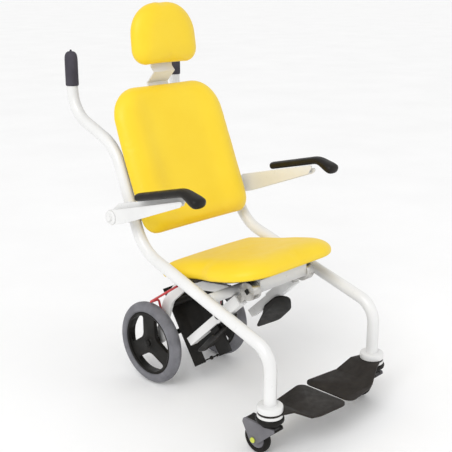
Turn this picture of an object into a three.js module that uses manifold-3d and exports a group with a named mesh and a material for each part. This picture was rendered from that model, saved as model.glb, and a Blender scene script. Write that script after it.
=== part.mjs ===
// A wheeled patient-transport chair: two bent side tubes carry a tilted seat, a backrest, a headrest,
// flip-up arms, swing-away footplates, folding leg rests, two front casters and two rear wheels.
// Millimetres, +Z up. The sitter faces -Y and +X is the sitter's left. Shapes are drawn for the left
// side with y counted from the front leg's axis and z from the floor, then mirrored for the right.
import * as THREE from 'three';
import { mergeVertices } from 'three/addons/utils/BufferGeometryUtils.js';
import Module from 'manifold-3d';

const manifold = await Module();
manifold.setup();

// ---- Driving dimensions ----

const gap = 0.3; // clearance kept between pieces that touch
const bite = 2; // how far joined blanks run into each other

const side = {
  tubeRadius: 19,
  halfWidth: 249, // leg axis to the chair's middle
  toeIn: 0.024, // the side tubes close in by this much per mm towards the rear
  footZ: 168.3,
  gripZ: 990,
  endZ: 1084,
};

const stack = { radius: 38, spigotRadius: 17, ringZ: 132, eyeZ: 142, flangeZ: 148.3, topZ: 168 };

const caster = {
  radius: 45, width: 25, trail: 45, hubRadius: 31, axleRadius: 5,
  headRadius: 42, headZ: 118, neckRadius: 28, neckZ: 104, topZ: 131.7,
};

const footplate = {
  inner: 6, crease: 150, landing: 204, front: -99, rear: 87, top: 118, eyeTop: 148, thickness: 5.5,
};

const rearWheel = {
  y: 615, radius: 142, width: 45, rimRadius: 109, rimWidth: 30, webWidth: 12, hubRadius: 18, x: 159, axleRadius: 9,
};

const rearLeg = { inner: 114, outer: 126 };

const frontCross = { y: 264, z: 410, radius: 16 };

const seat = {
  frontY: 104, frontZ: 519.9, slope: 0.2, length: 410, thickness: 46,
  frontHalf: 230, rearHalf: 217, rim: 14, board: 8,
};

const back = {
  baseY: 525, baseZ: 550, lean: 67.9, height: 477, bottomHalf: 237, topHalf: 231,
  frontN: 24, boardFrontN: -16, boardRearN: -23.3, rim: 13,
};

const head = {
  baseY: 682, baseZ: 1059, lean: 82.5, height: 199, bottomHalf: 140, topHalf: 131,
  frontN: 30.5, rearN: -28, rim: 18,
};

const arm = { pivotY: 620, pivotZ: 610, wallInner: 283, wallOuter: 306, wall: 4, pinRadius: 8 };

const pad = { centre: 305, width: 44, rim: 6 };

const legRest = {
  y: 190, z: 430, x: 125, stow: 43.2, barSize: 28, sleeveSize: 35, sleeveStart: 56, sleeveEnd: 186,
  barLength: 228, barStartLeft: 73, barStartRight: 129, discRadius: 29, padEnd: 298,
};

const tray = { y: 465, z: 78, lean: 57, length: 284, halfWidth: 89, sagitta: 9, thickness: 4 };

const reach = { front: -99, rear: 917.4 }; // foremost and rearmost points of the whole chair

// ---- Materials ----

const paint = (color, roughness, metalness = 0) =>
  new THREE.MeshStandardMaterial({ color, roughness, metalness });

const materials = {
  whitePaint: paint(0xf2f2f0, 0.3),
  yellowVinyl: paint(0xf6d72c, 0.45),
  blackPlastic: paint(0x211e1b, 0.5),
  padFoam: paint(0x2d2623, 0.45),
  gripRubber: paint(0x50494f, 0.7),
  footplateCoat: paint(0x3b3734, 0.65),
  greyTyre: paint(0x717176, 0.75),
  blackTyre: paint(0x25211e, 0.7),
  greyPlastic: paint(0x716f75, 0.5),
  capPlastic: paint(0xc6cf4a, 0.45),
  steel: paint(0xb4b2ae, 0.35, 0.9),
  redPaint: paint(0xbb1a1c, 0.35),
  darkBoard: paint(0x2b2926, 0.7),
};

// ---- Geometry helpers ----

function toSolid(geometry) {
  const bare = geometry.clone();
  bare.deleteAttribute('normal');
  bare.deleteAttribute('uv');
  const welded = mergeVertices(bare, 1e-4);
  const corners = welded.index.array;
  const triVerts = [];
  for (let i = 0; i < corners.length; i += 3) {
    const [a, b, c] = [corners[i], corners[i + 1], corners[i + 2]];
    if (a !== b && b !== c && c !== a) triVerts.push(a, b, c);
  }
  const vertProperties = new Float32Array(welded.attributes.position.array);
  const mesh = new manifold.Mesh({ numProp: 3, vertProperties, triVerts: new Uint32Array(triVerts) });
  return new manifold.Manifold(mesh);
}

function toGeometry(solid) {
  const mesh = solid.getMesh();
  const geometry = new THREE.BufferGeometry();
  geometry.setAttribute('position', new THREE.BufferAttribute(mesh.vertProperties, 3));
  geometry.setIndex(new THREE.BufferAttribute(mesh.triVerts, 1));
  geometry.computeVertexNormals();
  return geometry;
}

const joined = (...blanks) => toGeometry(blanks.map(toSolid).reduce((sum, next) => sum.add(next)));

const cut = (blank, ...tools) =>
  toGeometry(tools.map(toSolid).reduce((left, tool) => left.subtract(tool), toSolid(blank)));

const shared = (blank, other) => toGeometry(toSolid(blank).intersect(toSolid(other)));

// A closed outline through [a, b, radius] corners, each rounded by an arc of its radius.
function outline(corners) {
  const shape = new THREE.Shape();
  const at = (i) => corners[(i + corners.length) % corners.length];
  corners.forEach(([a, b, radius = 0], i) => {
    const here = new THREE.Vector2(a, b);
    const toBefore = new THREE.Vector2(...at(i - 1).slice(0, 2)).sub(here).normalize();
    const toAfter = new THREE.Vector2(...at(i + 1).slice(0, 2)).sub(here).normalize();
    const half = Math.acos(THREE.MathUtils.clamp(toBefore.dot(toAfter), -1, 1)) / 2;
    const run = radius / Math.tan(half);
    const start = here.clone().addScaledVector(toBefore, run);
    if (i === 0) shape.moveTo(start.x, start.y);
    else shape.lineTo(start.x, start.y);
    if (radius === 0) return;
    const centre = toBefore.clone().add(toAfter).normalize().multiplyScalar(radius / Math.sin(half)).add(here);
    const end = here.clone().addScaledVector(toAfter, run);
    const clockwise = toBefore.cross(toAfter) > 0;
    shape.absarc(centre.x, centre.y, radius, start.clone().sub(centre).angle(),
      end.clone().sub(centre).angle(), clockwise);
  });
  shape.closePath();
  return shape;
}

const circle = (radius, a = 0, b = 0) => new THREE.Shape().absarc(a, b, radius, 0, 2 * Math.PI, false);

const mirrorCorners = (corners) => [...corners, ...corners.map(([a, ...rest]) => [-a, ...rest]).reverse()];

// A strip of constant thickness whose middle line runs through [a, b] points.
function ribbon(points, thickness) {
  const middle = points.map(([a, b]) => new THREE.Vector2(a, b));
  const offset = (i, sign) => {
    const before = middle[Math.max(i - 1, 0)];
    const after = middle[Math.min(i + 1, middle.length - 1)];
    const incoming = middle[i].clone().sub(before);
    const outgoing = after.clone().sub(middle[i]);
    if (incoming.length() === 0) incoming.copy(outgoing);
    if (outgoing.length() === 0) outgoing.copy(incoming);
    const mean = incoming.normalize().clone().add(outgoing.normalize()).normalize();
    const mitre = thickness / 2 / mean.dot(outgoing);
    return [middle[i].x - sign * mean.y * mitre, middle[i].y + sign * mean.x * mitre];
  };
  const left = middle.map((_, i) => offset(i, 1));
  const right = middle.map((_, i) => offset(i, -1));
  return outline([...right, ...left.reverse()]);
}

const extrude = (shape, depth, curveSegments = 3) =>
  new THREE.ExtrudeGeometry(shape, { depth, curveSegments, bevelEnabled: false });

// A slab whose rim is rounded over by `rim`, between z = low and z = high.
function pillow(shape, low, high, rim, curveSegments = 3) {
  const geometry = new THREE.ExtrudeGeometry(shape, {
    depth: high - low - 2 * rim, curveSegments, bevelSize: rim, bevelThickness: rim, bevelOffset: -rim,
    bevelSegments: 2,
  });
  return geometry.translate(0, 0, low + rim);
}

// Drawn as (y, z) and extruded along X from x = from to x = to.
const sideways = new THREE.Matrix4().makeBasis(
  new THREE.Vector3(0, 1, 0), new THREE.Vector3(0, 0, 1), new THREE.Vector3(1, 0, 0));

const across = (shape, from, to, curveSegments) =>
  extrude(shape, to - from, curveSegments).applyMatrix4(sideways).translate(from, 0, 0);

const box = (x, y, z, sizeX, sizeY, sizeZ) => new THREE.BoxGeometry(sizeX, sizeY, sizeZ).translate(x, y, z);

const rod = (from, to, radius, y, z, segments = 16) =>
  new THREE.CylinderGeometry(radius, radius, to - from, segments)
    .rotateZ(-Math.PI / 2).translate((from + to) / 2, y, z);

// Turned about a vertical axis from [radius, z] points listed upwards on the outside.
const turned = (profile, x, y, segments = 24) =>
  new THREE.LatheGeometry(profile.map(([r, z]) => new THREE.Vector2(r, z)), segments)
    .rotateX(Math.PI / 2).translate(x, y, 0);

// Turned about an axis along X from [radius, x] points listed towards +X on the outside.
const wheelTurned = (profile, x, y, z, segments = 40) =>
  new THREE.LatheGeometry(profile.map(([r, h]) => new THREE.Vector2(r, h)), segments)
    .rotateZ(-Math.PI / 2).translate(x, y, z);

const closed = (profile) => [...profile, profile[0]];

// A route of straight runs and circular bends. Its stations sit only where the direction changes.
class BentRoute extends THREE.Curve {
  constructor(corners, bendStep = 9) {
    super();
    this.stations = [];
    const points = corners.map(({ x, y, z }) => new THREE.Vector3(x, y, z));
    corners.forEach(({ bend = 0 }, i) => {
      const here = points[i];
      const incoming = here.clone().sub(points[Math.max(i - 1, 0)]).normalize();
      const outgoing = points[Math.min(i + 1, points.length - 1)].clone().sub(here).normalize();
      if (bend === 0) {
        this.stations.push({ point: here, tangent: i === 0 ? outgoing : incoming });
        return;
      }
      const turn = incoming.angleTo(outgoing);
      const start = here.clone().addScaledVector(incoming, -bend * Math.tan(turn / 2));
      const inward = outgoing.clone().addScaledVector(incoming, -Math.cos(turn)).normalize();
      const steps = Math.ceil(THREE.MathUtils.radToDeg(turn) / bendStep);
      for (let k = 0; k <= steps; k += 1) {
        const angle = (turn * k) / steps;
        const point = start.clone().addScaledVector(incoming, bend * Math.sin(angle))
          .addScaledVector(inward, bend * (1 - Math.cos(angle)));
        const tangent = incoming.clone().multiplyScalar(Math.cos(angle))
          .addScaledVector(inward, Math.sin(angle));
        this.stations.push({ point, tangent });
      }
    });
    this.steps = this.stations.length - 1;
  }

  getPointAt(u) {
    return this.stations[Math.round(u * this.steps)].point.clone();
  }

  getTangentAt(u) {
    return this.stations[Math.round(u * this.steps)].tangent.clone();
  }
}

function bentTube(corners, radius, curveSegments = 8, bendStep = 9) {
  const extrudePath = new BentRoute(corners, bendStep);
  const section = circle(radius);
  return new THREE.ExtrudeGeometry(section, { steps: extrudePath.steps, extrudePath, curveSegments });
}

function mirrored(geometry) {
  const flipped = geometry.index ? geometry.toNonIndexed() : geometry.clone();
  const position = flipped.attributes.position;
  for (let i = 0; i < position.count; i += 3) {
    const [second, third] = [i + 1, i + 2].map((k) => new THREE.Vector3().fromBufferAttribute(position, k));
    position.setXYZ(i + 1, third.x, third.y, third.z);
    position.setXYZ(i + 2, second.x, second.y, second.z);
  }
  for (let i = 0; i < position.count; i += 1) position.setX(i, -position.getX(i));
  flipped.computeVertexNormals();
  return flipped;
}

const radians = THREE.MathUtils.degToRad;

const chair = new THREE.Group();

function add(name, geometry, material, parent = chair) {
  const mesh = new THREE.Mesh(geometry, material);
  mesh.name = name;
  parent.add(mesh);
  return mesh;
}

function addPair(name, geometry, material, parent = chair) {
  add(`${name}_left`, geometry, material, parent);
  add(`${name}_right`, mirrored(geometry), material, parent);
}

// ---- Frame ----

const sideX = (y) => side.halfWidth - side.toeIn * y;

function sideCorner(y, z, bend) {
  return { x: sideX(y), y, z, bend };
}

const sideRoute = [
  sideCorner(0, side.footZ),
  sideCorner(0, 325, 80),
  sideCorner(552, 502, 150),
  sideCorner(680, 818, 140),
  sideCorner(896, 904, 110),
  sideCorner(896, side.endZ),
];

function addSideFrames() {
  addPair('side_tube', bentTube(sideRoute, side.tubeRadius), materials.whitePaint);
  const bore = side.tubeRadius + gap;
  const grip = turned(closed([
    [bore, side.gripZ], [20.6, side.gripZ], [21.4, 994], [21.2, 1074], [19.5, 1090], [12, 1099], [4, 1100],
    [3.4, 1105], [0, 1106],
  ].concat([[0, side.endZ + gap], [bore, side.endZ + gap]])), sideX(896), 896, 20);
  addPair('handle_grip', grip, materials.gripRubber);
}

// The bars between the side tubes end just short of the tubes' inner faces.
function crossTube(y, z, radius) {
  const end = sideX(y) - side.tubeRadius - 3 * gap;
  return rod(-end, end, radius, y, z, 20);
}

function addCrossTubes() {
  add('front_cross_tube', crossTube(frontCross.y, frontCross.z, frontCross.radius), materials.whitePaint);
  add('back_cross_tube_lower', crossTube(591.5, 600, 15), materials.whitePaint);
  add('back_cross_tube_upper', crossTube(650.5, 745, 15), materials.whitePaint);
}

// ---- Seat ----

const seatTilt = -Math.atan(seat.slope);

function seatOutline(inset, frontInset, frontRadius) {
  return outline(mirrorCorners([
    [seat.frontHalf - inset, frontInset, frontRadius],
    [seat.frontHalf - inset, 176, 40],
    [seat.rearHalf - inset, 222, 40],
    [seat.rearHalf - inset, seat.length - inset, 38],
  ]));
}

function addSeat() {
  const group = new THREE.Group();
  group.position.set(0, seat.frontY, seat.frontZ);
  group.rotation.x = seatTilt;
  chair.add(group);
  const half = seat.thickness / 2;
  add('seat_cushion', pillow(seatOutline(0, 0, 120), -half, half, seat.rim), materials.yellowVinyl, group);
  const boardTop = -half - gap;
  const board = extrude(seatOutline(25, 50, 90), seat.board).translate(0, 0, boardTop - seat.board);
  const ears = box(0, 264, boardTop - seat.board / 2, 441, 60, seat.board);
  add('seat_board', joined(board, ears), materials.darkBoard, group);
}

// ---- Backrest and headrest ----

// Frame of a leaning pad: x across, y up along the pad, z forwards out of its front face.
function leaning(part) {
  const group = new THREE.Group();
  group.position.set(0, part.baseY, part.baseZ);
  group.rotation.x = radians(part.lean);
  chair.add(group);
  return group;
}

// The chair's (y, z) of a point `up` along a leaning pad and `out` of its middle plane.
function onPad(part, up, out) {
  const lean = radians(part.lean);
  const y = part.baseY + up * Math.cos(lean) - out * Math.sin(lean);
  const z = part.baseZ + up * Math.sin(lean) + out * Math.cos(lean);
  return [y, z];
}

function padOutline(part, inset, bottomRadius, topRadius) {
  return outline(mirrorCorners([
    [part.bottomHalf - inset, inset, bottomRadius],
    [part.topHalf - inset, part.height - inset, topRadius],
  ]));
}

function addBackrest() {
  const group = leaning(back);
  const cushion = pillow(padOutline(back, 0, 60, 105), back.boardFrontN, back.frontN, back.rim, 4);
  add('backrest_cushion', cushion, materials.yellowVinyl, group);
  const depth = back.boardFrontN - gap - back.boardRearN;
  const board = extrude(padOutline(back, 11, 50, 94), depth, 4).translate(0, 0, back.boardRearN);
  add('backrest_board', board, materials.darkBoard, group);
}

function addHeadrest() {
  const group = leaning(head);
  const cushion = pillow(padOutline(head, 0, 50, 108), head.rearN, head.frontN, head.rim, 4);
  add('headrest_cushion', cushion, materials.yellowVinyl, group);
  const thickness = 4;
  const halfWidth = 45;
  const behind = gap + thickness / 2;
  const spine = ribbon([
    onPad(back, 330, back.boardRearN - behind),
    onPad(back, 492, back.boardRearN - behind),
    [697, 1034],
    onPad(head, -7, head.rearN - behind),
    onPad(head, 95, head.rearN - behind),
  ], thickness);
  const plate = extrude(padOutline(head, 22, 30, 86), thickness).rotateX(radians(head.lean))
    .translate(0, ...onPad(head, 0, head.rearN - gap - thickness));
  const bracket = joined(across(spine, -halfWidth, halfWidth), plate);
  add('headrest_bracket', bracket, materials.whitePaint);
}

// ---- Arms ----

function armWall(topRear, topFront, bottomFront, from, to) {
  const bossRadius = 25;
  const wall = across(outline([
    [559, 602, 12], [bottomFront[0], bottomFront[1], 6], [topFront[0], topFront[1], 6],
    [topRear[0], topRear[1], 8], [arm.pivotY + 14, arm.pivotZ + 20, 6], [arm.pivotY, arm.pivotZ - bossRadius, 10],
  ]), from, to);
  return joined(wall, rod(from, to, bossRadius, arm.pivotY, arm.pivotZ, 24));
}

function armChannel() {
  const outer = armWall([590, 641], [283, 724], [304, 701], arm.wallOuter - arm.wall, arm.wallOuter);
  const inner = armWall([606, 654], [290, 734], [310, 702], arm.wallInner, arm.wallInner + arm.wall);
  const floor = across(ribbon([[556, 606], [309, 704]], arm.wall), arm.wallInner, arm.wallOuter);
  const hub = rod(arm.wallInner, arm.wallOuter, 20, arm.pivotY, arm.pivotZ, 20);
  const bore = rod(arm.wallInner - bite, arm.wallOuter + bite, arm.pinRadius + gap, arm.pivotY, arm.pivotZ);
  return cut(joined(outer, inner, floor, hub), bore);
}

function armBracket() {
  const face = sideX(596) + side.tubeRadius + 1;
  const plate = 6;
  const reachY = 596;
  const stadium = across(outline([
    [reachY - 20, arm.pivotZ - 22, 20], [arm.pivotY + 22, arm.pivotZ - 22, 20],
    [arm.pivotY + 22, arm.pivotZ + 22, 20], [reachY - 20, arm.pivotZ + 22, 20],
  ]), face, face + plate);
  const barrel = rod(face, arm.wallInner - gap, 20, arm.pivotY, arm.pivotZ, 20);
  const bore = rod(face + plate, arm.wallInner + bite, arm.pinRadius + gap, arm.pivotY, arm.pivotZ);
  return cut(joined(stadium, barrel), bore);
}

function armBolt() {
  const start = sideX(596) + side.tubeRadius + 8;
  const washer = arm.wallOuter + gap;
  const shank = rod(start, washer + bite, arm.pinRadius, arm.pivotY, arm.pivotZ);
  const disc = rod(washer, washer + 4, 23, arm.pivotY, arm.pivotZ, 24);
  const nut = rod(washer + 2, washer + 12, 10.5, arm.pivotY, arm.pivotZ, 6);
  return joined(shank, disc, nut);
}

function armPad() {
  const shape = outline([
    [487, 686, 10], [481, 711, 10], [285, 762, 40], [211, 736, 11], [222, 717, 8], [285, 738, 40],
  ]);
  const half = pad.width / 2;
  return pillow(shape, -half, half, pad.rim).applyMatrix4(sideways).translate(pad.centre, 0, 0);
}

function addArms() {
  addPair('arm_bracket', armBracket(), materials.whitePaint);
  addPair('arm_channel', armChannel(), materials.whitePaint);
  addPair('arm_bolt', armBolt(), materials.steel);
  addPair('arm_pad', armPad(), materials.padFoam);
}

// ---- Front legs: flange, footplate and ring stacked on the leg's axis ----

function addLegStacks() {
  const { radius, spigotRadius, ringZ, eyeZ, flangeZ, topZ } = stack;
  const flange = turned([
    [0, ringZ + gap], [spigotRadius, ringZ + gap], [spigotRadius, flangeZ], [radius - 2, flangeZ],
    [radius, flangeZ + 2], [radius, topZ - 5], [radius - 4, topZ], [0, topZ],
  ], side.halfWidth, 0);
  addPair('leg_flange', flange, materials.whitePaint);
  const bore = spigotRadius + gap;
  const ring = turned(closed([
    [bore, ringZ], [radius - 2, ringZ], [radius, ringZ + 2], [radius, eyeZ - gap - 2],
    [radius - 2, eyeZ - gap], [bore, eyeZ - gap],
  ]), side.halfWidth, 0);
  addPair('leg_ring', ring, materials.whitePaint);
}

function footplateSheet() {
  const { inner, crease, landing, front, rear, top, eyeTop, thickness } = footplate;
  const axis = side.halfWidth;
  const half = thickness / 2;
  const bend = ribbon([
    [inner - bite, top - half], [crease, top - half], [landing, eyeTop - half], [axis + stack.radius + bite, eyeTop - half],
  ], thickness);
  const strip = extrude(bend, rear - front + 2 * bite).rotateX(Math.PI / 2).translate(0, rear + bite, 0);
  const plan = extrude(outline([
    [inner, front, 24], [crease - 28, front + 12, 26], [axis - 6, -stack.radius + 1, 8],
    [axis - 6, stack.radius - 1, 8], [crease - 4, rear - 20, 40], [inner, rear, 24],
  ]), eyeTop);
  const eye = turned([[0, 0], [stack.radius - 1, 0], [stack.radius - 1, eyeTop + bite], [0, eyeTop + bite]], axis, 0);
  const bore = turned([
    [0, 0], [stack.spigotRadius + gap, 0], [stack.spigotRadius + gap, eyeTop + bite], [0, eyeTop + bite],
  ], axis, 0, 20);
  return cut(shared(strip, joined(plan, eye)), bore);
}

// ---- Casters ----

const casterHubX = side.halfWidth;

function casterHead() {
  const { headRadius, headZ, neckRadius, neckZ, topZ } = caster;
  return turned([
    [0, neckZ], [neckRadius - 2, neckZ], [neckRadius, neckZ + 2], [neckRadius, headZ],
    [headRadius - 2, headZ], [headRadius, headZ + 3], [headRadius, topZ - 4], [headRadius - 4, topZ], [0, topZ],
  ], casterHubX, 0);
}

function casterFork() {
  const inner = caster.width / 2 + 4;
  const outer = inner + 5;
  const top = caster.neckZ - gap;
  const cheek = outline([
    [-30, top, 4], [-34, top - 9, 6], [caster.trail - 12, caster.radius - 10, 9],
    [caster.trail + 12, caster.radius - 10, 9], [88, top - 14, 8], [84, top, 6],
  ]);
  const cheeks = [-1, 1].map((sign) => {
    const near = casterHubX + sign * (sign > 0 ? inner : outer);
    return across(cheek, near, near + outer - inner);
  });
  const bridge = box(casterHubX, 26, top - 3.5, 2 * inner + bite, 108, 7);
  const hole = rod(casterHubX - outer - bite, casterHubX + outer + bite, caster.axleRadius + gap,
    caster.trail, caster.radius);
  return cut(joined(...cheeks, bridge), hole);
}

function casterTyre() {
  const { hubRadius, radius } = caster;
  const half = caster.width / 2;
  return wheelTurned(closed([
    [hubRadius + gap, -half + 2], [hubRadius + 5, -half], [radius - 5, -half + 1], [radius, -half + 6],
    [radius, half - 6], [radius - 5, half - 1], [hubRadius + 5, half], [hubRadius + gap, half - 2],
  ]), casterHubX, caster.trail, radius, 32);
}

function casterHub() {
  const half = caster.width / 2;
  const bore = caster.axleRadius + gap;
  return wheelTurned(closed([
    [bore, -half - 2], [12, -half - 2], [14, -half + 4], [caster.hubRadius, -half + 3],
    [caster.hubRadius, half - 3], [14, half - 4], [12, half + 2], [bore, half + 2],
  ]), casterHubX, caster.trail, caster.radius, 24);
}

function casterAxle() {
  const face = caster.width / 2 + 9 + gap;
  const shank = rod(casterHubX - face - 3, casterHubX + face + bite, caster.axleRadius, caster.trail, caster.radius);
  const cap = rod(casterHubX + face, casterHubX + face + 4, 8.5, caster.trail, caster.radius);
  return joined(shank, cap);
}

function addCasters() {
  addPair('footplate', footplateSheet(), materials.footplateCoat);
  addPair('caster_head', casterHead(), materials.blackPlastic);
  addPair('caster_fork', casterFork(), materials.greyPlastic);
  addPair('caster_tyre', casterTyre(), materials.blackTyre);
  addPair('caster_hub', casterHub(), materials.greyPlastic);
  addPair('caster_axle', casterAxle(), materials.capPlastic);
}

// ---- Rear wheels, legs, axle and brake ----

function rearTyre() {
  const { radius, rimRadius, width } = rearWheel;
  const half = width / 2;
  return wheelTurned(closed([
    [rimRadius + gap, -half + 6], [rimRadius + 8, -half], [radius - 18, -half + 1], [radius - 8, -half + 6],
    [radius - 1.5, -half + 14], [radius, 0], [radius - 1.5, half - 14], [radius - 8, half - 6],
    [radius - 18, half - 1], [rimRadius + 8, half], [rimRadius + gap, half - 6],
  ]), rearWheel.x, rearWheel.y, radius, 48);
}

// A ring and a hub joined by a thin web. Three broad spokes are what is left of it between three windows.
function rearRim() {
  const { rimRadius, rimWidth, webWidth, hubRadius, axleRadius, x, y, radius } = rearWheel;
  const half = rimWidth / 2;
  const web = webWidth / 2;
  const bore = axleRadius + gap;
  const ringInside = rimRadius - 9;
  const disc = wheelTurned(closed([
    [bore, -half], [hubRadius, -half], [hubRadius + 4, -web], [ringInside - 3, -web], [ringInside, -half],
    [rimRadius, -half], [rimRadius, half], [ringInside, half], [ringInside - 3, web], [hubRadius + 4, web],
    [hubRadius, half], [bore, half],
  ]), x, y, radius, 48);
  const windows = [0, 1, 2].map((k) => {
    const at = (r, degrees) => {
      const angle = radians(147 + 120 * k + degrees);
      return [r * Math.cos(angle), r * Math.sin(angle)];
    };
    return across(outline([
      [...at(34, 0), 30], [...at(95, -43), 6], [...at(104, -18), 45], [...at(104, 18), 45], [...at(95, 43), 6],
    ]), x - half - bite, x + half + bite).translate(0, y, radius);
  });
  return cut(disc, ...windows);
}

function rearLegPlate() {
  const { y, radius, axleRadius } = rearWheel;
  const plate = across(outline([
    [280.6, 396, 4], [470, 364, 40], [543, 296, 60], [568, 225, 60], [556, 166, 8], [590, 139, 8],
    [y, radius - 22, 16], [y + 24, radius, 16], [606, 215, 50], [588, 290, 70], [520, 376, 20],
    [496, 394, 20], [280.6, 421, 4],
  ]), rearLeg.inner, rearLeg.outer);
  const bore = rod(rearLeg.inner - bite, rearLeg.outer + bite, axleRadius + gap, y, radius);
  return cut(plate, bore);
}

// The axle carries a domed cap outside each wheel.
function rearAxle() {
  const face = rearWheel.x + rearWheel.rimWidth / 2 + gap;
  const shaft = rod(-face - bite, face + bite, rearWheel.axleRadius, rearWheel.y, rearWheel.radius);
  const caps = [wheelTurned([[0, 0], [13, 0], [13, 3], [9, 6], [0, 7]], face, rearWheel.y, rearWheel.radius, 20)];
  caps.push(mirrored(caps[0]));
  return joined(shaft, ...caps);
}

// A bent rod: hand end forward, hooked back over the tyre, then down the leg to its pivot.
function brakeLever() {
  const pivot = { y: 577, z: 215 };
  const lane = rearWheel.x + 19;
  const inside = rearLeg.outer + 5.2;
  const hook = bentTube([
    { x: lane, y: 458, z: 389 },
    { x: lane, y: 590, z: 300, bend: 12 },
    { x: lane - 18, y: 602, z: 292, bend: 9 },
    { x: inside, y: 603, z: 293, bend: 9 },
    { x: inside, y: pivot.y, z: pivot.z },
  ], 4, 4, 22);
  const eye = rod(rearLeg.outer + gap, inside + 4.5, 9, pivot.y, pivot.z);
  return joined(hook, eye);
}

function addRearEnd() {
  addPair('rear_leg', rearLegPlate(), materials.whitePaint);
  addPair('rear_tyre', rearTyre(), materials.greyTyre);
  addPair('rear_rim', rearRim(), materials.blackPlastic);
  addPair('brake_lever', brakeLever(), materials.redPaint);
  add('rear_axle', rearAxle(), materials.steel);
  const tubeEnd = rearLeg.inner - gap;
  add('rear_cross_tube', rod(-tubeEnd, tubeEnd, 12, 575, 274.5), materials.blackPlastic);
}

// ---- Leg rests ----

// Frame of a stowed leg rest: x across, y outwards along the bar, -z on the side that carries the calf pad.
function stowedFrame() {
  const group = new THREE.Group();
  group.position.set(0, legRest.y, legRest.z);
  group.rotation.x = radians(-legRest.stow);
  chair.add(group);
  return group;
}

function legRestBeam() {
  const half = legRest.x - 16;
  const beam = box(0, legRest.y, 443.5, 2 * half, 46, 39);
  const link = box(0, 230, 421, 150, 64, 14);
  const seatOfTube = rod(-200, 200, frontCross.radius + gap, frontCross.y, frontCross.z, 24);
  return cut(joined(beam, link), seatOfTube);
}

function addLegRests() {
  add('leg_rest_beam', legRestBeam(), materials.whitePaint);
  const group = stowedFrame();
  const { x, sleeveSize, sleeveStart, sleeveEnd, barSize, barLength, discRadius } = legRest;
  const beamFace = x - 16 + gap;
  const disc = rod(beamFace, x + 17, discRadius, 0, 0, 28);
  const neck = box(x, 40, 0, 24, 30, 24);
  addPair('leg_rest_hub', joined(disc, neck), materials.steel, group);
  const middle = (sleeveStart + sleeveEnd) / 2;
  const shell = box(x, middle, 0, sleeveSize, sleeveEnd - sleeveStart, sleeveSize);
  const hollow = box(x, middle + 12, 0, barSize + 2 * gap, sleeveEnd - sleeveStart, barSize + 2 * gap);
  addPair('leg_rest_sleeve', cut(shell, hollow), materials.whitePaint, group);
  const knobFace = x + sleeveSize / 2 + gap;
  addPair('leg_rest_knob', rod(knobFace, knobFace + 18, 13, 150, 0), materials.blackPlastic, group);
  const calf = calfPad(legRest.padEnd);
  for (const [name, sign, start] of [['left', 1, legRest.barStartLeft], ['right', -1, legRest.barStartRight]]) {
    const bar = box(sign * x, start + barLength / 2, 0, barSize, barLength, barSize);
    add(`leg_rest_bar_${name}`, bar, materials.whitePaint, group);
    add(`calf_pad_${name}`, sign > 0 ? calf : mirrored(calf), materials.blackPlastic, group);
  }
}

// A leaf-shaped pad held off the bar by a post, tilted so that its outer side stands further off.
function calfPad(end) {
  const { x, barSize } = legRest;
  const leaf = outline([
    [21, 40, 6], [64, -40, 60], [57, -120, 45], [16, -176, 40], [-36, -172, 26], [-34, -92, 30], [-8, -42, 20],
  ]);
  const stand = 30;
  const shell = extrude(leaf, 6).translate(0, 0, -6).rotateY(radians(30)).translate(x, end, -stand);
  const top = -barSize / 2 - gap;
  const post = box(x, end - 75, (top - stand - 2) / 2, 14, 40, top + stand + 2);
  return joined(shell, post);
}

// ---- Tray under the seat ----

function addTray() {
  const group = new THREE.Group();
  group.position.set(0, tray.y, tray.z);
  group.rotation.x = radians(tray.lean);
  chair.add(group);
  const { halfWidth, sagitta, thickness, length } = tray;
  const radius = (halfWidth ** 2 + sagitta ** 2) / (2 * sagitta);
  const sweep = Math.asin(halfWidth / radius);
  const curve = [];
  for (let k = -4; k <= 4; k += 1) {
    const angle = (sweep * k) / 4;
    curve.push([radius * Math.sin(angle), radius * (1 - Math.cos(angle))]);
  }
  const strip = extrude(ribbon(curve, thickness), length).rotateX(-Math.PI / 2);
  const cutOut = box(-12, 14, 0, 66, 52, 60);
  add('under_seat_tray', cut(strip, cutOut), materials.blackPlastic, group);
  const bar = rod(-44.5, 20.5, 2.5, 6, 0, 10);
  const ball = (x, radius) => new THREE.SphereGeometry(radius, 12, 8).translate(x, 6, 0);
  add('tray_rod', joined(bar, ball(-16, 7), ball(12, 5)), materials.blackPlastic, group);
}

addSideFrames();
addCrossTubes();
addSeat();
addBackrest();
addHeadrest();
addArms();
addLegStacks();
addCasters();
addRearEnd();
addLegRests();
addTray();

// The row frame's origin is under the middle of the chair's outer box.
chair.position.y = -(reach.front + reach.rear) / 2;

export default chair;
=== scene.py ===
import math

import bmesh
import bpy
import numpy as np
from mathutils import Matrix, Vector


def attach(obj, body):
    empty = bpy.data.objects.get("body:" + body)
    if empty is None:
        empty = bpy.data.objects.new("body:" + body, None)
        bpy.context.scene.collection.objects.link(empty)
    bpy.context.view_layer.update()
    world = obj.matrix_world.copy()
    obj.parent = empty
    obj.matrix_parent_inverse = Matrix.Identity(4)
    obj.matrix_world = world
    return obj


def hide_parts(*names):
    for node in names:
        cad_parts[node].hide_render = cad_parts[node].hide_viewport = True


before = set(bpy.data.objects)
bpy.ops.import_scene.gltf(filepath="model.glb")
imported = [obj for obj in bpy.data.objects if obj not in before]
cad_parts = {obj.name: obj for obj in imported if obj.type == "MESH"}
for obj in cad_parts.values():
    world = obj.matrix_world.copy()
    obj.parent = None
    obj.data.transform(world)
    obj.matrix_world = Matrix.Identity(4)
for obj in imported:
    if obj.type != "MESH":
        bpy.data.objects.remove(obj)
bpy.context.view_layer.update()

# ---- Driving dimensions, in millimetres ----

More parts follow.
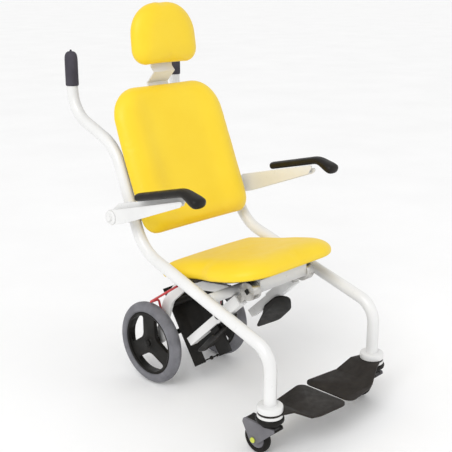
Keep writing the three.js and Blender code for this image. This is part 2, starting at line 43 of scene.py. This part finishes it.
ORIGIN_Y = 409.2          # the frame's origin, counted from the front leg's axis
SIDE_X, TOE_IN = 249, 0.024
TUBE_RADIUS = 19
GRIP_Z, TUBE_END_Z = 990, 1084
REAR_BEND_Y = 896        # how far back the side tubes reach
SEAT = {"y": 104, "z": 519.9, "lean": -11.31, "half": 231, "rear_half": 217, "length": 416}
BACK = {"y": 525, "z": 550, "lean": 67.9, "half": 237, "middle_half": 239, "top_half": 231, "height": 477}
HEAD = {"y": 682, "z": 1059, "lean": 82.5, "half": 140, "top_half": 131, "height": 199}
CLOTH_CAP, CLOTH_STEPS = 0.003, 20    # metres the cushions may be blown out, and the steps taken
ARM_PAD_X = 305
REAR_WHEEL = {"x": 159, "y": 615, "radius": 142, "width": 45, "windows": 3}
CASTER = {"x": 249, "y": 45, "radius": 45, "cheek": 14}
LEG_REST = {"x": 125, "y": 190, "z": 430, "lean": -43.2, "face": 17}
GAP = 0.4                 # left between a sleeve and the tube inside it
SIDES = (("left", 1), ("right", -1))


def mm(x, y, z):
    """A chair point in millimetres as a frame point in metres."""
    return Vector((x / 1000, (y - ORIGIN_Y) / 1000, z / 1000))


def leaning(y, z, lean):
    """The place of a leaning part: x across, y up along it, z out of its front face."""
    return Matrix.Translation(mm(0, y, z)) @ Matrix.Rotation(math.radians(lean), 4, "X")


# ---- Materials ----

def linear(rgb):
    """sRGB 0-255 as the linear colour a shader takes."""
    values = [c / 255 for c in rgb]
    return [c / 12.92 if c <= 0.04045 else ((c + 0.055) / 1.055) ** 2.4 for c in values] + [1]


class Finish:
    """A principled material with helpers that add procedural colour, roughness and bump."""

    def __init__(self, name, roughness, metallic=0.0, coat=0.0):
        self.material = bpy.data.materials.new(name)
        self.material.use_nodes = True
        self.nodes = self.material.node_tree.nodes
        self.links = self.material.node_tree.links
        self.shader = self.nodes["Principled BSDF"]
        self.shader.inputs["Roughness"].default_value = roughness
        self.shader.inputs["Metallic"].default_value = metallic
        self.shader.inputs["Coat Weight"].default_value = coat
        self.shader.inputs["Coat Roughness"].default_value = 0.2
        self.place = self.nodes.new("ShaderNodeTexCoord").outputs["Object"]
        self.height = None

    def noise(self, scale, detail=4.0, roughness=0.55, stretch=(1, 1, 1)):
        mapping = self.nodes.new("ShaderNodeMapping")
        mapping.inputs["Scale"].default_value = stretch
        texture = self.nodes.new("ShaderNodeTexNoise")
        texture.inputs["Scale"].default_value = scale
        texture.inputs["Detail"].default_value = detail
        texture.inputs["Roughness"].default_value = roughness
        self.links.new(self.place, mapping.inputs["Vector"])
        self.links.new(mapping.outputs["Vector"], texture.inputs["Vector"])
        return texture.outputs["Fac"]

    def cells(self, scale):
        texture = self.nodes.new("ShaderNodeTexVoronoi")
        texture.inputs["Scale"].default_value = scale
        self.links.new(self.place, texture.inputs["Vector"])
        return texture.outputs["Distance"]

    def ramp(self, value, stops):
        node = self.nodes.new("ShaderNodeValToRGB")
        ramp = node.color_ramp
        while len(ramp.elements) < len(stops):
            ramp.elements.new(0.5)
        for element, (position, colour) in zip(ramp.elements, stops):
            element.position = position
            element.color = colour
        self.links.new(value, node.inputs["Fac"])
        return node.outputs["Color"]

    def span(self, value, low, high):
        node = self.nodes.new("ShaderNodeMapRange")
        node.inputs["To Min"].default_value = low
        node.inputs["To Max"].default_value = high
        node.inputs["From Min"].default_value = 0.3
        node.inputs["From Max"].default_value = 0.7
        self.links.new(value, node.inputs["Value"])
        return node.outputs["Result"]

    def colour(self, value, dark, light):
        self.links.new(self.ramp(value, [(0.3, linear(dark)), (0.7, linear(light))]),
                       self.shader.inputs["Base Color"])

    def worn_edges(self, base, worn, strength=0.5):
        """Rubbed edges: convex edges, broken up by noise, take the worn colour."""
        geometry = self.nodes.new("ShaderNodeNewGeometry")
        edges = self.ramp(geometry.outputs["Pointiness"], [(0.53, (0, 0, 0, 1)), (0.62, (1, 1, 1, 1))])
        patches = self.ramp(self.noise(60, 6), [(0.42, (0, 0, 0, 1)), (0.62, (strength,) * 3 + (1,))])
        mask = self.nodes.new("ShaderNodeMath")
        mask.operation = "MULTIPLY"
        self.links.new(edges, mask.inputs[0])
        self.links.new(patches, mask.inputs[1])
        mix = self.nodes.new("ShaderNodeMix")
        mix.data_type = "RGBA"
        self.links.new(mask.outputs[0], mix.inputs["Factor"])
        tint = self.ramp(self.noise(25), [(0.3, linear(base[0])), (0.7, linear(base[1]))])
        self.links.new(tint, mix.inputs["A"])
        mix.inputs["B"].default_value = linear(worn)
        self.links.new(mix.outputs["Result"], self.shader.inputs["Base Color"])

    def rough(self, value, low, high):
        self.links.new(self.span(value, low, high), self.shader.inputs["Roughness"])

    def bump(self, value, strength, depth):
        node = self.nodes.new("ShaderNodeBump")
        node.inputs["Strength"].default_value = strength
        node.inputs["Distance"].default_value = depth
        self.links.new(value, node.inputs["Height"])
        if self.height:
            self.links.new(self.height, node.inputs["Normal"])
        self.height = node.outputs["Normal"]
        self.links.new(self.height, self.shader.inputs["Normal"])


def white_powder_coat():
    finish = Finish("white_powder_coat", 0.3, coat=0.35)
    finish.colour(finish.noise(6), (223, 223, 222), (233, 233, 232))
    finish.rough(finish.noise(40), 0.26, 0.4)
    finish.bump(finish.noise(900, 2), 0.18, 0.0004)
    return finish.material


def yellow_vinyl():
    finish = Finish("yellow_vinyl", 0.42)
    finish.shader.inputs["Specular IOR Level"].default_value = 0.38
    finish.shader.inputs["Sheen Weight"].default_value = 0.06
    finish.colour(finish.noise(5), (242, 206, 34), (246, 213, 44))
    finish.rough(finish.noise(30), 0.4, 0.5)
    finish.bump(finish.cells(1100), 0.1, 0.0002)
    finish.bump(finish.noise(350, 3), 0.08, 0.0003)
    return finish.material


def moulded(name, dark, light, roughness, grain=700, strength=0.2, worn=None, shine=0.5):
    """A moulded plastic or rubber with a fine grain, and rubbed edges where `worn` is a colour."""
    finish = Finish(name, roughness)
    finish.shader.inputs["Specular IOR Level"].default_value = shine
    if worn:
        finish.worn_edges((dark, light), worn)
    else:
        finish.colour(finish.noise(18), dark, light)
    finish.rough(finish.noise(45), roughness - 0.07, roughness + 0.09)
    finish.bump(finish.cells(grain), strength, 0.0003)
    finish.bump(finish.noise(260, 3), strength * 0.6, 0.0004)
    return finish.material


def two_tone_fork(side_x):
    """Grey plastic on the fork's outer cheek, black on its bridge and inner cheek."""
    finish = Finish("fork_two_tone", 0.48)
    finish.shader.inputs["Specular IOR Level"].default_value = 0.3
    split = finish.nodes.new("ShaderNodeSeparateXYZ")
    finish.links.new(finish.place, split.inputs["Vector"])
    outward = finish.nodes.new("ShaderNodeMath")
    outward.operation = "ABSOLUTE"
    finish.links.new(split.outputs["X"], outward.inputs[0])
    outer = finish.nodes.new("ShaderNodeMath")
    outer.operation = "GREATER_THAN"
    outer.inputs[1].default_value = side_x / 1000
    finish.links.new(outward.outputs[0], outer.inputs[0])
    mix = finish.nodes.new("ShaderNodeMix")
    mix.data_type = "RGBA"
    finish.links.new(outer.outputs[0], mix.inputs["Factor"])
    black = finish.ramp(finish.noise(18), [(0.3, linear((16, 15, 13))), (0.7, linear((30, 28, 25)))])
    grey = finish.ramp(finish.noise(14), [(0.3, linear((98, 97, 101))), (0.7, linear((118, 117, 121)))])
    finish.links.new(black, mix.inputs["A"])
    finish.links.new(grey, mix.inputs["B"])
    finish.links.new(mix.outputs["Result"], finish.shader.inputs["Base Color"])
    finish.rough(finish.noise(45), 0.4, 0.56)
    finish.bump(finish.cells(600), 0.2, 0.0003)
    return finish.material


def brushed_steel():
    finish = Finish("brushed_steel", 0.3, metallic=1.0)
    finish.colour(finish.noise(30), (172, 170, 166), (206, 204, 200))
    finish.rough(finish.noise(140, 5), 0.24, 0.42)
    finish.bump(finish.noise(220, 4, stretch=(1, 12, 1)), 0.15, 0.0003)
    return finish.material


def red_paint():
    finish = Finish("red_paint", 0.3, coat=0.5)
    finish.colour(finish.noise(20), (168, 16, 18), (202, 26, 28))
    finish.rough(finish.noise(60), 0.24, 0.4)
    finish.bump(finish.noise(700, 2), 0.15, 0.0003)
    return finish.material


WHITE = white_powder_coat()
YELLOW = yellow_vinyl()
BLACK = moulded("black_plastic", (12, 11, 9), (24, 22, 19), 0.45, worn=(46, 43, 39), shine=0.2)
BOARD = moulded("dark_board", (30, 28, 26), (50, 47, 43), 0.62, 300, 0.35)
PAD = moulded("arm_pad_foam", (18, 15, 12), (30, 26, 22), 0.42, 900, 0.12, shine=0.28)
GRIP = moulded("grip_rubber", (56, 53, 62), (70, 67, 76), 0.66, 500, 0.4, shine=0.35)
TYRE = moulded("grey_tyre", (98, 98, 103), (122, 122, 127), 0.72, 420, 0.35, worn=(150, 149, 148))
CASTER_TYRE = moulded("caster_tyre", (18, 16, 14), (32, 29, 26), 0.66, 420, 0.3, shine=0.2)
FORK = moulded("fork_grey", (100, 98, 104), (122, 120, 126), 0.45, 600, 0.2, worn=(146, 144, 148))
PLATE = moulded("charcoal_plate", (34, 30, 27), (46, 42, 38), 0.52, 380, 0.4, worn=(70, 66, 62), shine=0.2)
CAP = moulded("yellow_green_cap", (188, 198, 66), (210, 218, 90), 0.42, 700, 0.12)
FORK_SHELL = two_tone_fork(CASTER["x"] + CASTER["cheek"])
STEEL = brushed_steel()
RED = red_paint()

# ---- Mesh helpers ----


def circle_arc(before, here, after, radius, step=6):
    """Points of the arc that rounds a corner, in as many steps as its turn needs."""
    incoming, outgoing = (here - before).normalized(), (after - here).normalized()
    turn = incoming.angle(outgoing)
    if radius == 0 or turn < 1e-4:
        return [here]
    start = here - incoming * radius * math.tan(turn / 2)
    inward = (outgoing - incoming * math.cos(turn)).normalized()
    count = max(2, math.ceil(math.degrees(turn) / step))
    angles = [turn * k / count for k in range(count + 1)]
    return [start + incoming * radius * math.sin(a) + inward * radius * (1 - math.cos(a)) for a in angles]


def route(corners):
    """A path through (point, bend radius) corners, with its ends square."""
    points = [corners[0][0]]
    for i in range(1, len(corners) - 1):
        points += circle_arc(corners[i - 1][0], corners[i][0], corners[i + 1][0], corners[i][1])
    return points + [corners[-1][0]]


def rounded(corners, step=6):
    """A closed outline through (a, b, radius) corners, as 2-D points in millimetres."""
    flat = [Vector((a, b)) for a, b, _ in corners]
    points = []
    for i, (_, _, radius) in enumerate(corners):
        points += circle_arc(flat[i - 1], flat[i], flat[(i + 1) % len(flat)], radius, step)
    return points


def mirrored_outline(corners, step=6):
    return rounded(list(corners) + [(-a, b, r) for a, b, r in reversed(corners)], step)


def finish_piece(name, mesh_data, material, body, replaced=(), sharp=35):
    """A named piece of clean, outward-facing mesh on its body."""
    mesh_data.normal_update()
    bmesh.ops.recalc_face_normals(mesh_data, faces=mesh_data.faces)
    mesh = bpy.data.meshes.new(name)
    mesh_data.to_mesh(mesh)
    mesh_data.free()
    for polygon in mesh.polygons:
        polygon.use_smooth = True
    mesh.set_sharp_from_angle(angle=math.radians(sharp))
    mesh.materials.append(material)
    piece = bpy.data.objects.new(name, mesh)
    bpy.context.collection.objects.link(piece)
    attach(piece, body)
    if replaced:
        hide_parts(*replaced)
    return piece


def rings_into(mesh_data, rings, closed_loop=False, caps=True):
    """Bridges equal rings of points into a skin."""
    made = [[mesh_data.verts.new(point) for point in ring] for ring in rings]
    count = len(made[0])
    pairs = list(zip(made, made[1:]))
    if closed_loop:
        pairs.append((made[-1], made[0]))
    for lower, upper in pairs:
        for k in range(count):
            mesh_data.faces.new((lower[k], lower[(k + 1) % count], upper[(k + 1) % count], upper[k]))
    if caps and not closed_loop:
        mesh_data.faces.new(made[0])
        mesh_data.faces.new(made[-1])


def sweep_into(mesh_data, path, half_width, half_height=None, sides=36, power=2.0, scale=lambda u: 1.0,
               up=None):
    """A tube along a path; power above 2 squares its round or oval section."""
    last = len(path) - 1
    tangents = [(path[min(i + 1, last)] - path[max(i - 1, 0)]).normalized() for i in range(len(path))]
    normal = up or tangents[0].orthogonal().normalized()
    tall = half_height or half_width
    rings = []
    for i, (point, tangent) in enumerate(zip(path, tangents)):
        normal = (normal - tangent * normal.dot(tangent)).normalized()
        binormal = tangent.cross(normal)
        size = scale(i / (len(path) - 1))
        ring = []
        for k in range(sides):
            c, d = math.cos(2 * math.pi * k / sides), math.sin(2 * math.pi * k / sides)
            across = math.copysign(abs(d) ** (2 / power), d) * half_width
            above = math.copysign(abs(c) ** (2 / power), c) * tall
            ring.append(point + size * (normal * above + binormal * across))
        rings.append(ring)
    rings_into(mesh_data, rings)


AXES = {"x": (Vector((0, 1, 0)), Vector((0, 0, 1)), Vector((1, 0, 0))),
        "z": (Vector((1, 0, 0)), Vector((0, 1, 0)), Vector((0, 0, 1)))}


def turn_into(mesh_data, profile, centre, axis="z", segments=64, loop=False):
    """A body turned from (radius, height) points in millimetres about an axis through centre."""
    first, second, along = AXES[axis]
    angles = [2 * math.pi * k / segments for k in range(segments)]
    rings = []
    for radius, height in profile:
        reach = max(radius, 0.05) / 1000
        rings.append([centre + (first * math.cos(a) + second * math.sin(a)) * reach + along * height / 1000
                      for a in angles])
    rings_into(mesh_data, rings, closed_loop=loop)


def prism_into(mesh_data, points, low, high, put):
    """An outline in millimetres pushed from low to high; put places a point at a level."""
    rings_into(mesh_data, [[put(point, level) for point in points] for level in (low, high)])


def turned_piece(name, profile, centre, axis, material, body, replaced=(), segments=72, loop=False):
    """A named piece turned about an axis."""
    mesh_data = bmesh.new()
    turn_into(mesh_data, profile, centre, axis, segments, loop)
    return finish_piece(name, mesh_data, material, body, replaced)


def side_x(y):
    """How far out a side tube's centre is, y behind the front leg."""
    return SIDE_X - TOE_IN * y


def keep_cad(node, material, edge=0.6):
    """A carried-over CAD node with welded, slightly rounded edges and its detailed material."""
    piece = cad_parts[node]
    piece.data.materials.clear()
    piece.data.materials.append(material)
    weld = piece.modifiers.new("weld", "WELD")
    weld.merge_threshold = 0.00002
    if edge:
        bevel = piece.modifiers.new("edges", "BEVEL")
        bevel.width = edge / 1000
        bevel.segments = 2
        bevel.limit_method = "ANGLE"
        bevel.angle_limit = math.radians(40)
        bevel.harden_normals = True
    for polygon in piece.data.polygons:
        polygon.use_smooth = True
    return piece


# ---- Camera, light and floor ----

def make_camera():
    """The chair seen from its right front, a little above."""
    data = bpy.data.cameras.new("camera")
    data.lens = 69.8
    data.sensor_width = 36
    data.shift_x, data.shift_y = 0.0085, 0.0017
    data.clip_end = 300
    camera = bpy.data.objects.new("camera", data)
    bpy.context.collection.objects.link(camera)
    forward = Vector((0.68598, 0.67005, -0.28367))
    upward = Vector((0.20427, 0.19684, 0.95892))
    right = forward.cross(upward).normalized()
    rotation = Matrix((right, right.cross(forward), -forward)).transposed().to_4x4()
    camera.matrix_world = Matrix.Translation((-1.9516, -1.8831, 1.360)) @ rotation
    bpy.context.scene.camera = camera


def add_light(name, kind, energy, position, target=(0, 0, 0.55), **settings):
    data = bpy.data.lights.new(name, kind)
    data.energy = energy
    if kind == "AREA":
        data.shape = "DISK"
    for key, value in settings.items():
        setattr(data, key, value)
    light = bpy.data.objects.new(name, data)
    bpy.context.collection.objects.link(light)
    light.location = position
    light.rotation_euler = (Vector(target) - Vector(position)).to_track_quat("-Z", "Y").to_euler()


def make_studio():
    bpy.context.scene.view_settings.view_transform = "Standard"
    world = bpy.data.worlds.new("studio")
    bpy.context.scene.world = world
    world.use_nodes = True
    world.node_tree.nodes["Background"].inputs["Color"].default_value = (1, 1, 1, 1)
    world.node_tree.nodes["Background"].inputs["Strength"].default_value = 0.8
    add_light("key", "SUN", 0.85, (-2.6, -1.0, 3.0), angle=math.radians(35))
    add_light("softbox", "AREA", 14, (-2.6, -1.2, 2.6), size=1.6)
    add_light("fill", "AREA", 5, (1.6, -2.8, 1.4), size=1.6)
    finish = Finish("studio_floor", 0.75)
    finish.colour(finish.noise(1.5), (251, 251, 251), (255, 255, 255))
    mesh_data = bmesh.new()
    turn_into(mesh_data, [(40, -0.6), (90000, -0.6)], Vector((0, 0, 0)), segments=64)
    bmesh.ops.delete(mesh_data, geom=[f for f in mesh_data.faces if len(f.verts) > 4], context="FACES_ONLY")
    bmesh.ops.contextual_create(mesh_data, geom=[e for e in mesh_data.edges if e.is_boundary
                                                 and e.verts[0].co.length < 1])
    mesh = bpy.data.meshes.new("studio_floor")
    mesh_data.to_mesh(mesh)
    mesh_data.free()
    mesh.materials.append(finish.material)
    floor = bpy.data.objects.new("studio_floor", mesh)
    bpy.context.collection.objects.link(floor)


# ---- Cushions ----

def settle(piece, place, rear, reach):
    """Blows the cushion up as cloth, no further than CLOTH_CAP, and keeps the side on its board flat."""
    rest = [v.co.copy() for v in piece.data.vertices]
    cloth = piece.modifiers.new("cloth", "CLOTH")
    cloth.settings.use_pressure = True
    cloth.settings.uniform_pressure_force = 4
    cloth.settings.effector_weights.gravity = 0
    cloth.point_cache.frame_end = CLOTH_STEPS
    for step in range(1, CLOTH_STEPS + 1):
        bpy.context.scene.frame_set(step)
    blown = piece.evaluated_get(bpy.context.evaluated_depsgraph_get()).to_mesh()
    moved = [v.co.copy() for v in blown.vertices]
    piece.modifiers.remove(cloth)
    bpy.context.scene.frame_set(1)
    out = place.inverted()
    for vertex, start, end in zip(piece.data.vertices, rest, moved):
        share = min(1, max(0, ((out @ start).z - rear) / reach))
        shift = end - start
        if shift.length > CLOTH_CAP:
            shift = shift.normalized() * CLOTH_CAP
        vertex.co = start + shift * share * share * (3 - 2 * share)


def edge_distance(points, outline):
    """Each point's distance from a closed outline, as arrays."""
    starts = np.array([tuple(p) for p in outline])
    runs = np.roll(starts, -1, axis=0) - starts
    nearest = np.full(len(points), 1e9)
    for start, run in zip(starts, runs):
        share = np.clip(((points - start) @ run) / (run @ run + 1e-12), 0, 1)
        nearest = np.minimum(nearest, np.linalg.norm(points - start - share[:, None] * run, axis=1))
    return nearest


def remeshed(piece, voxel):
    """Rebuilds the piece's mesh in even voxels."""
    remesh = piece.modifiers.new("remesh", "REMESH")
    remesh.mode = "VOXEL"
    remesh.voxel_size = voxel
    piece.data = bpy.data.meshes.new_from_object(piece.evaluated_get(bpy.context.evaluated_depsgraph_get()))
    piece.modifiers.remove(remesh)


def cushion(name, node, outline, levels, rims, place, crown):
    """A foam pad in vinyl, shaped from (rear, middle, front) levels. Its face and back fall to the middle
    level over the front and rear rims' widths, and its face is crowned."""
    rear, middle, front = levels
    mesh_data = bmesh.new()
    prism_into(mesh_data, outline, rear, front,
               lambda p, n: place @ Vector((p.x / 1000, p.y / 1000, n / 1000)))
    piece = finish_piece(name, mesh_data, YELLOW, "chair_frame", [node], 180)
    remeshed(piece, 0.005)
    out = place.inverted()
    local = np.array([tuple(out @ v.co) for v in piece.data.vertices]) * 1000
    inside = edge_distance(local[:, :2], outline)
    for k, vertex in enumerate(piece.data.vertices):
        x, y, n = local[k]
        rim = rims[0] if n > middle else rims[1]
        fall = math.sqrt(1 - (1 - min(1, inside[k] / rim)) ** 2)
        n = middle + (n - middle) * fall
        share = min(1, max(0, (n - middle) / (front - middle)))
        vertex.co = place @ Vector((x / 1000, y / 1000, (n + share * crown(x, y)) / 1000))
    remeshed(piece, 0.005)
    smooth = piece.modifiers.new("smooth", "SMOOTH")
    smooth.factor, smooth.iterations = 0.5, 12
    piece.data = bpy.data.meshes.new_from_object(piece.evaluated_get(bpy.context.evaluated_depsgraph_get()))
    piece.modifiers.clear()
    settle(piece, place, rear / 1000, (middle - rear) / 1000)
    refine = piece.modifiers.new("refine", "SUBSURF")
    refine.levels = refine.render_levels = 1
    piece.data = bpy.data.meshes.new_from_object(piece.evaluated_get(bpy.context.evaluated_depsgraph_get()))
    piece.modifiers.clear()
    for polygon in piece.data.polygons:
        polygon.use_smooth = True
    return piece


def back_crown(x, y):
    """The backrest is dished between two side bolsters, which run out towards its top."""
    depth = 15 - 9 * min(1, max(0, (y - 200) / 260)) - 9 * min(1, max(0, (90 - y) / 90))
    return depth * (math.exp(-((abs(x) - 170) / 48) ** 2) - 0.55)


def make_cushions():
    half, rear_half, length = SEAT["half"], SEAT["rear_half"], SEAT["length"]
    outline = mirrored_outline([(half, -2, 118), (half, 176, 40), (rear_half, 222, 40),
                                (rear_half, length, 34)])
    cushion("seat_pad", "seat_cushion", outline, (-25, -12, 24), (80, 12),
            leaning(SEAT["y"], SEAT["z"], SEAT["lean"]), lambda x, y: 3 * (1 - (x / 230) ** 2))
    outline = mirrored_outline([(BACK["half"], 0, 55), (BACK["middle_half"], BACK["height"] * 0.52, 400),
                                (BACK["top_half"], BACK["height"] + 4, 112)])
    cushion("back_pad", "backrest_cushion", outline, (-18, -8, 25), (56, 7),
            leaning(BACK["y"], BACK["z"], BACK["lean"]), back_crown)
    outline = mirrored_outline([(HEAD["half"], 0, 50), (HEAD["top_half"], HEAD["height"], 108)])
    cushion("head_pad", "headrest_cushion", outline, (-28, -4, 29), (70, 30),
            leaning(HEAD["y"], HEAD["z"], HEAD["lean"]), lambda x, y: 2 * (1 - (x / 140) ** 2))


# ---- Frame ----

def side_path(sign):
    def at(y, z):
        return mm(sign * side_x(y), y, z)
    return route([(at(0, 168.3), 0), (at(0, 325), 0.08), (at(552, 502), 0.15), (at(680, 818), 0.14),
                  (at(REAR_BEND_Y, 904), 0.11), (at(REAR_BEND_Y, TUBE_END_Z), 0)])


def make_side(side, sign):
    mesh_data = bmesh.new()
    sweep_into(mesh_data, side_path(sign), TUBE_RADIUS / 1000, sides=40)
    finish_piece(f"frame_tube_{side}", mesh_data, WHITE, "chair_frame",
                 [f"side_tube_{side}"])
    bore, tube_top = TUBE_RADIUS + GAP, TUBE_END_Z + GAP
    skirt = [(bore, GRIP_Z), (20.4, GRIP_Z), (21.2, GRIP_Z + 2), (21.4, GRIP_Z + 6), (21.2, GRIP_Z + 84)]
    dome = [(20.6, 1083), (18.6, 1091), (15, 1096.5), (10, 1099.6), (5, 1100.6)]
    nipple = [(3.6, 1101.2), (3.3, 1104), (2.4, 1105.7), (0.1, 1106)]
    turned_piece(f"push_grip_{side}", skirt + dome + nipple + [(0.1, tube_top), (bore, tube_top)],
                 mm(sign * side_x(REAR_BEND_Y), REAR_BEND_Y, 0), "z", GRIP, "chair_frame",
                 [f"handle_grip_{side}"], loop=True)


# ---- Arms ----

def pad_swell(u):
    """The arm pad is rounded off at both ends and swells towards its drooping nose, where u is 1."""
    depth = min(1, min(u / 0.03, (1 - u) / 0.055))
    swell = 1 + 0.3 * math.exp(-((u - 0.93) / 0.1) ** 2)
    return swell * math.sqrt(max(0.02, 1 - (1 - depth) ** 2))


def make_arm(side, sign):
    line = route([(mm(sign * ARM_PAD_X, y, z), r / 1000) for y, z, r in
                  ((487, 699, 0), (282, 750, 60), (212, 722, 0))])
    path = []
    for start, end in zip(line, line[1:]):
        count = max(1, math.ceil((end - start).length / 0.003))
        path += [start.lerp(end, k / count) for k in range(count)]
    path.append(line[-1])
    mesh_data = bmesh.new()
    sweep_into(mesh_data, path, 0.0205, 0.0125, 40, 2.5, pad_swell, Vector((0, 0, 1)))
    finish_piece(f"armrest_{side}", mesh_data, PAD, f"arm_{side}", [f"arm_pad_{side}"], 60)
    keep_cad(f"arm_channel_{side}", WHITE, 0.8)
    keep_cad(f"arm_bracket_{side}", WHITE, 0.8)
    keep_cad(f"arm_bolt_{side}", WHITE, 0.6)


# ---- Front leg stacks, footplates and casters ----

def make_front(side, sign):
    axis = mm(sign * SIDE_X, 0, 0)
    cap = [(0.1, 132.3), (17, 132.3), (17, 148.3), (36, 148.3), (37.5, 149), (38, 151), (38, 163), (37, 166),
           (34, 168), (20, 168.4), (19.2, 168.4), (0.1, 168.4)]
    turned_piece(f"leg_cap_{side}", cap, axis, "z", WHITE, "chair_frame",
                 [f"leg_flange_{side}"])
    ring = [(17.3, 132), (36, 132), (37.4, 132.6), (38, 134), (38, 139.6), (37.4, 141), (36, 141.7),
            (17.3, 141.7)]
    turned_piece(f"bearing_ring_{side}", ring, axis, "z", WHITE, "chair_frame",
                 [f"leg_ring_{side}"], loop=True)
    swivel = [(0.1, 104), (26, 104), (28, 106), (28, 117), (39, 118), (41, 119), (42, 122), (42, 127),
              (40, 130.5), (36, 131.7), (0.1, 131.7)]
    turned_piece(f"swivel_{side}", swivel, axis, "z", BLACK, f"caster_{side}",
                 [f"caster_head_{side}"])
    wheel = mm(sign * CASTER["x"], CASTER["y"], CASTER["radius"])
    tyre = [(31.4, -10), (36, -12.3), (40, -11.6), (43, -9), (44.6, -5), (45, 0), (44.6, 5), (43, 9),
            (40, 11.6), (36, 12.3), (31.4, 10)]
    turned_piece(f"caster_tread_{side}", tyre, wheel, "x", CASTER_TYRE, f"caster_wheel_{side}",
                 [f"caster_tyre_{side}"], loop=True)
    hub = [(5.4, -14), (11, -14), (12.5, -13), (14, -8), (29, -9), (31, -7), (31, 7), (29, 9), (14, 8),
           (12.5, 13), (11, 14), (5.4, 14)]
    turned_piece(f"caster_core_{side}", hub, wheel, "x", FORK, f"caster_wheel_{side}",
                 [f"caster_hub_{side}"], loop=True)
    keep_cad(f"caster_fork_{side}", FORK_SHELL, 1.2)
    keep_cad(f"caster_axle_{side}", CAP, 0.8)
    keep_cad(f"footplate_{side}", PLATE, 1.4)


# ---- Rear wheels ----

def window_outline(middle):
    """One of the rim's three leaf-shaped windows."""
    def at(radius, turn):
        angle = math.radians(middle + turn)
        return radius * math.cos(angle), radius * math.sin(angle)
    return rounded([(*at(34, 0), 30), (*at(95, -43), 7), (*at(104, -18), 45), (*at(104, 18), 45),
                    (*at(95, 43), 7)], 4)


def rim_mesh():
    """A ring and a small hub joined by a thin dished web."""
    mesh_data = bmesh.new()
    side = [(109, 14), (107.5, 15), (101, 15), (99.5, 14), (98, 8), (96, 6.5), (90, 6), (30, 7.5), (22, 9),
            (18, 13), (16.5, 14.5), (9.4, 15)]
    turn_into(mesh_data, [(r, -h) for r, h in reversed(side)] + side, Vector((0, 0, 0)), "x", 96, loop=True)
    return mesh_data


def make_rear_wheel(side, sign):
    centre = mm(sign * REAR_WHEEL["x"], REAR_WHEEL["y"], REAR_WHEEL["radius"])
    half = REAR_WHEEL["width"] / 2
    section = [(109.4, -half + 7), (112, -half + 3), (115, -half + 1.2), (121, -half), (127, -half + 1.5)]
    section += [(133, -half + 5.5), (138, -half + 11), (141, -half + 17), (142, 0)]
    section += [(radius, -offset) for radius, offset in reversed(section[:-1])]
    turned_piece(f"tyre_{side}", section, centre, "x", TYRE, f"rear_wheel_{side}",
                 [f"rear_tyre_{side}"], segments=128, loop=True)
    mesh_data = rim_mesh()
    bmesh.ops.translate(mesh_data, verts=mesh_data.verts, vec=centre)
    rim = finish_piece(f"rim_{side}", mesh_data, BLACK, f"rear_wheel_{side}",
                       [f"rear_rim_{side}"])
    cutter_mesh = bmesh.new()
    for k in range(REAR_WHEEL["windows"]):
        prism_into(cutter_mesh, window_outline(147 + 360 / REAR_WHEEL["windows"] * k), -30, 30,
                   lambda p, n: centre + Vector((n / 1000, p.x / 1000, p.y / 1000)))
    bmesh.ops.recalc_face_normals(cutter_mesh, faces=cutter_mesh.faces)
    cutter_data = bpy.data.meshes.new("cutter")
    cutter_mesh.to_mesh(cutter_data)
    cutter_mesh.free()
    cutter = bpy.data.objects.new("cutter", cutter_data)
    bpy.context.collection.objects.link(cutter)
    holes = rim.modifiers.new("windows", "BOOLEAN")
    holes.object = cutter
    holes.solver = "EXACT"
    bevel = rim.modifiers.new("edges", "BEVEL")
    bevel.width, bevel.segments = 0.0025, 3
    bevel.limit_method, bevel.angle_limit = "ANGLE", math.radians(50)
    rim.data = bpy.data.meshes.new_from_object(rim.evaluated_get(bpy.context.evaluated_depsgraph_get()))
    rim.modifiers.clear()
    for polygon in rim.data.polygons:
        polygon.use_smooth = True
    rim.data.set_sharp_from_angle(angle=math.radians(35))
    bpy.data.objects.remove(cutter)
    keep_cad(f"rear_leg_{side}", WHITE, 1.0)
    keep_cad(f"brake_lever_{side}", RED, 0.3)


# ---- Leg rests ----

def make_leg_rest(side, sign):
    stowed = Matrix.Rotation(math.radians(LEG_REST["lean"]), 4, "X")
    pivot = mm(sign * (LEG_REST["x"] + LEG_REST["face"]), LEG_REST["y"], LEG_REST["z"])
    mesh_data = bmesh.new()
    prism_into(mesh_data, rounded([(-8, -8, 2), (8, -8, 2), (8, 8, 2), (-8, 8, 2)], 3), 0.1, 1.1,
               lambda p, n: pivot + stowed @ Vector((sign * n / 1000, p.x / 1000, p.y / 1000)))
    finish_piece(f"hub_socket_{side}", mesh_data, BLACK, f"leg_rest_{side}", [])
    keep_cad(f"leg_rest_hub_{side}", STEEL, 0.8)
    keep_cad(f"leg_rest_sleeve_{side}", WHITE, 1.2)
    keep_cad(f"leg_rest_knob_{side}", BLACK, 1.2)
    keep_cad(f"leg_rest_bar_{side}", WHITE, 1.6)
    keep_cad(f"calf_pad_{side}", BLACK, 1.5)


def dress_the_rest():
    for node in ("front_cross_tube", "back_cross_tube_lower", "back_cross_tube_upper", "headrest_bracket",
                 "leg_rest_beam"):
        keep_cad(node, WHITE)
    for node in ("seat_board", "backrest_board"):
        keep_cad(node, BOARD)
    for node in ("under_seat_tray", "rear_cross_tube", "rear_axle", "tray_rod"):
        keep_cad(node, BLACK)


make_camera()
make_studio()
make_cushions()
for side, sign in SIDES:
    make_side(side, sign)
    make_arm(side, sign)
    make_front(side, sign)
    make_rear_wheel(side, sign)
    make_leg_rest(side, sign)
dress_the_rest()
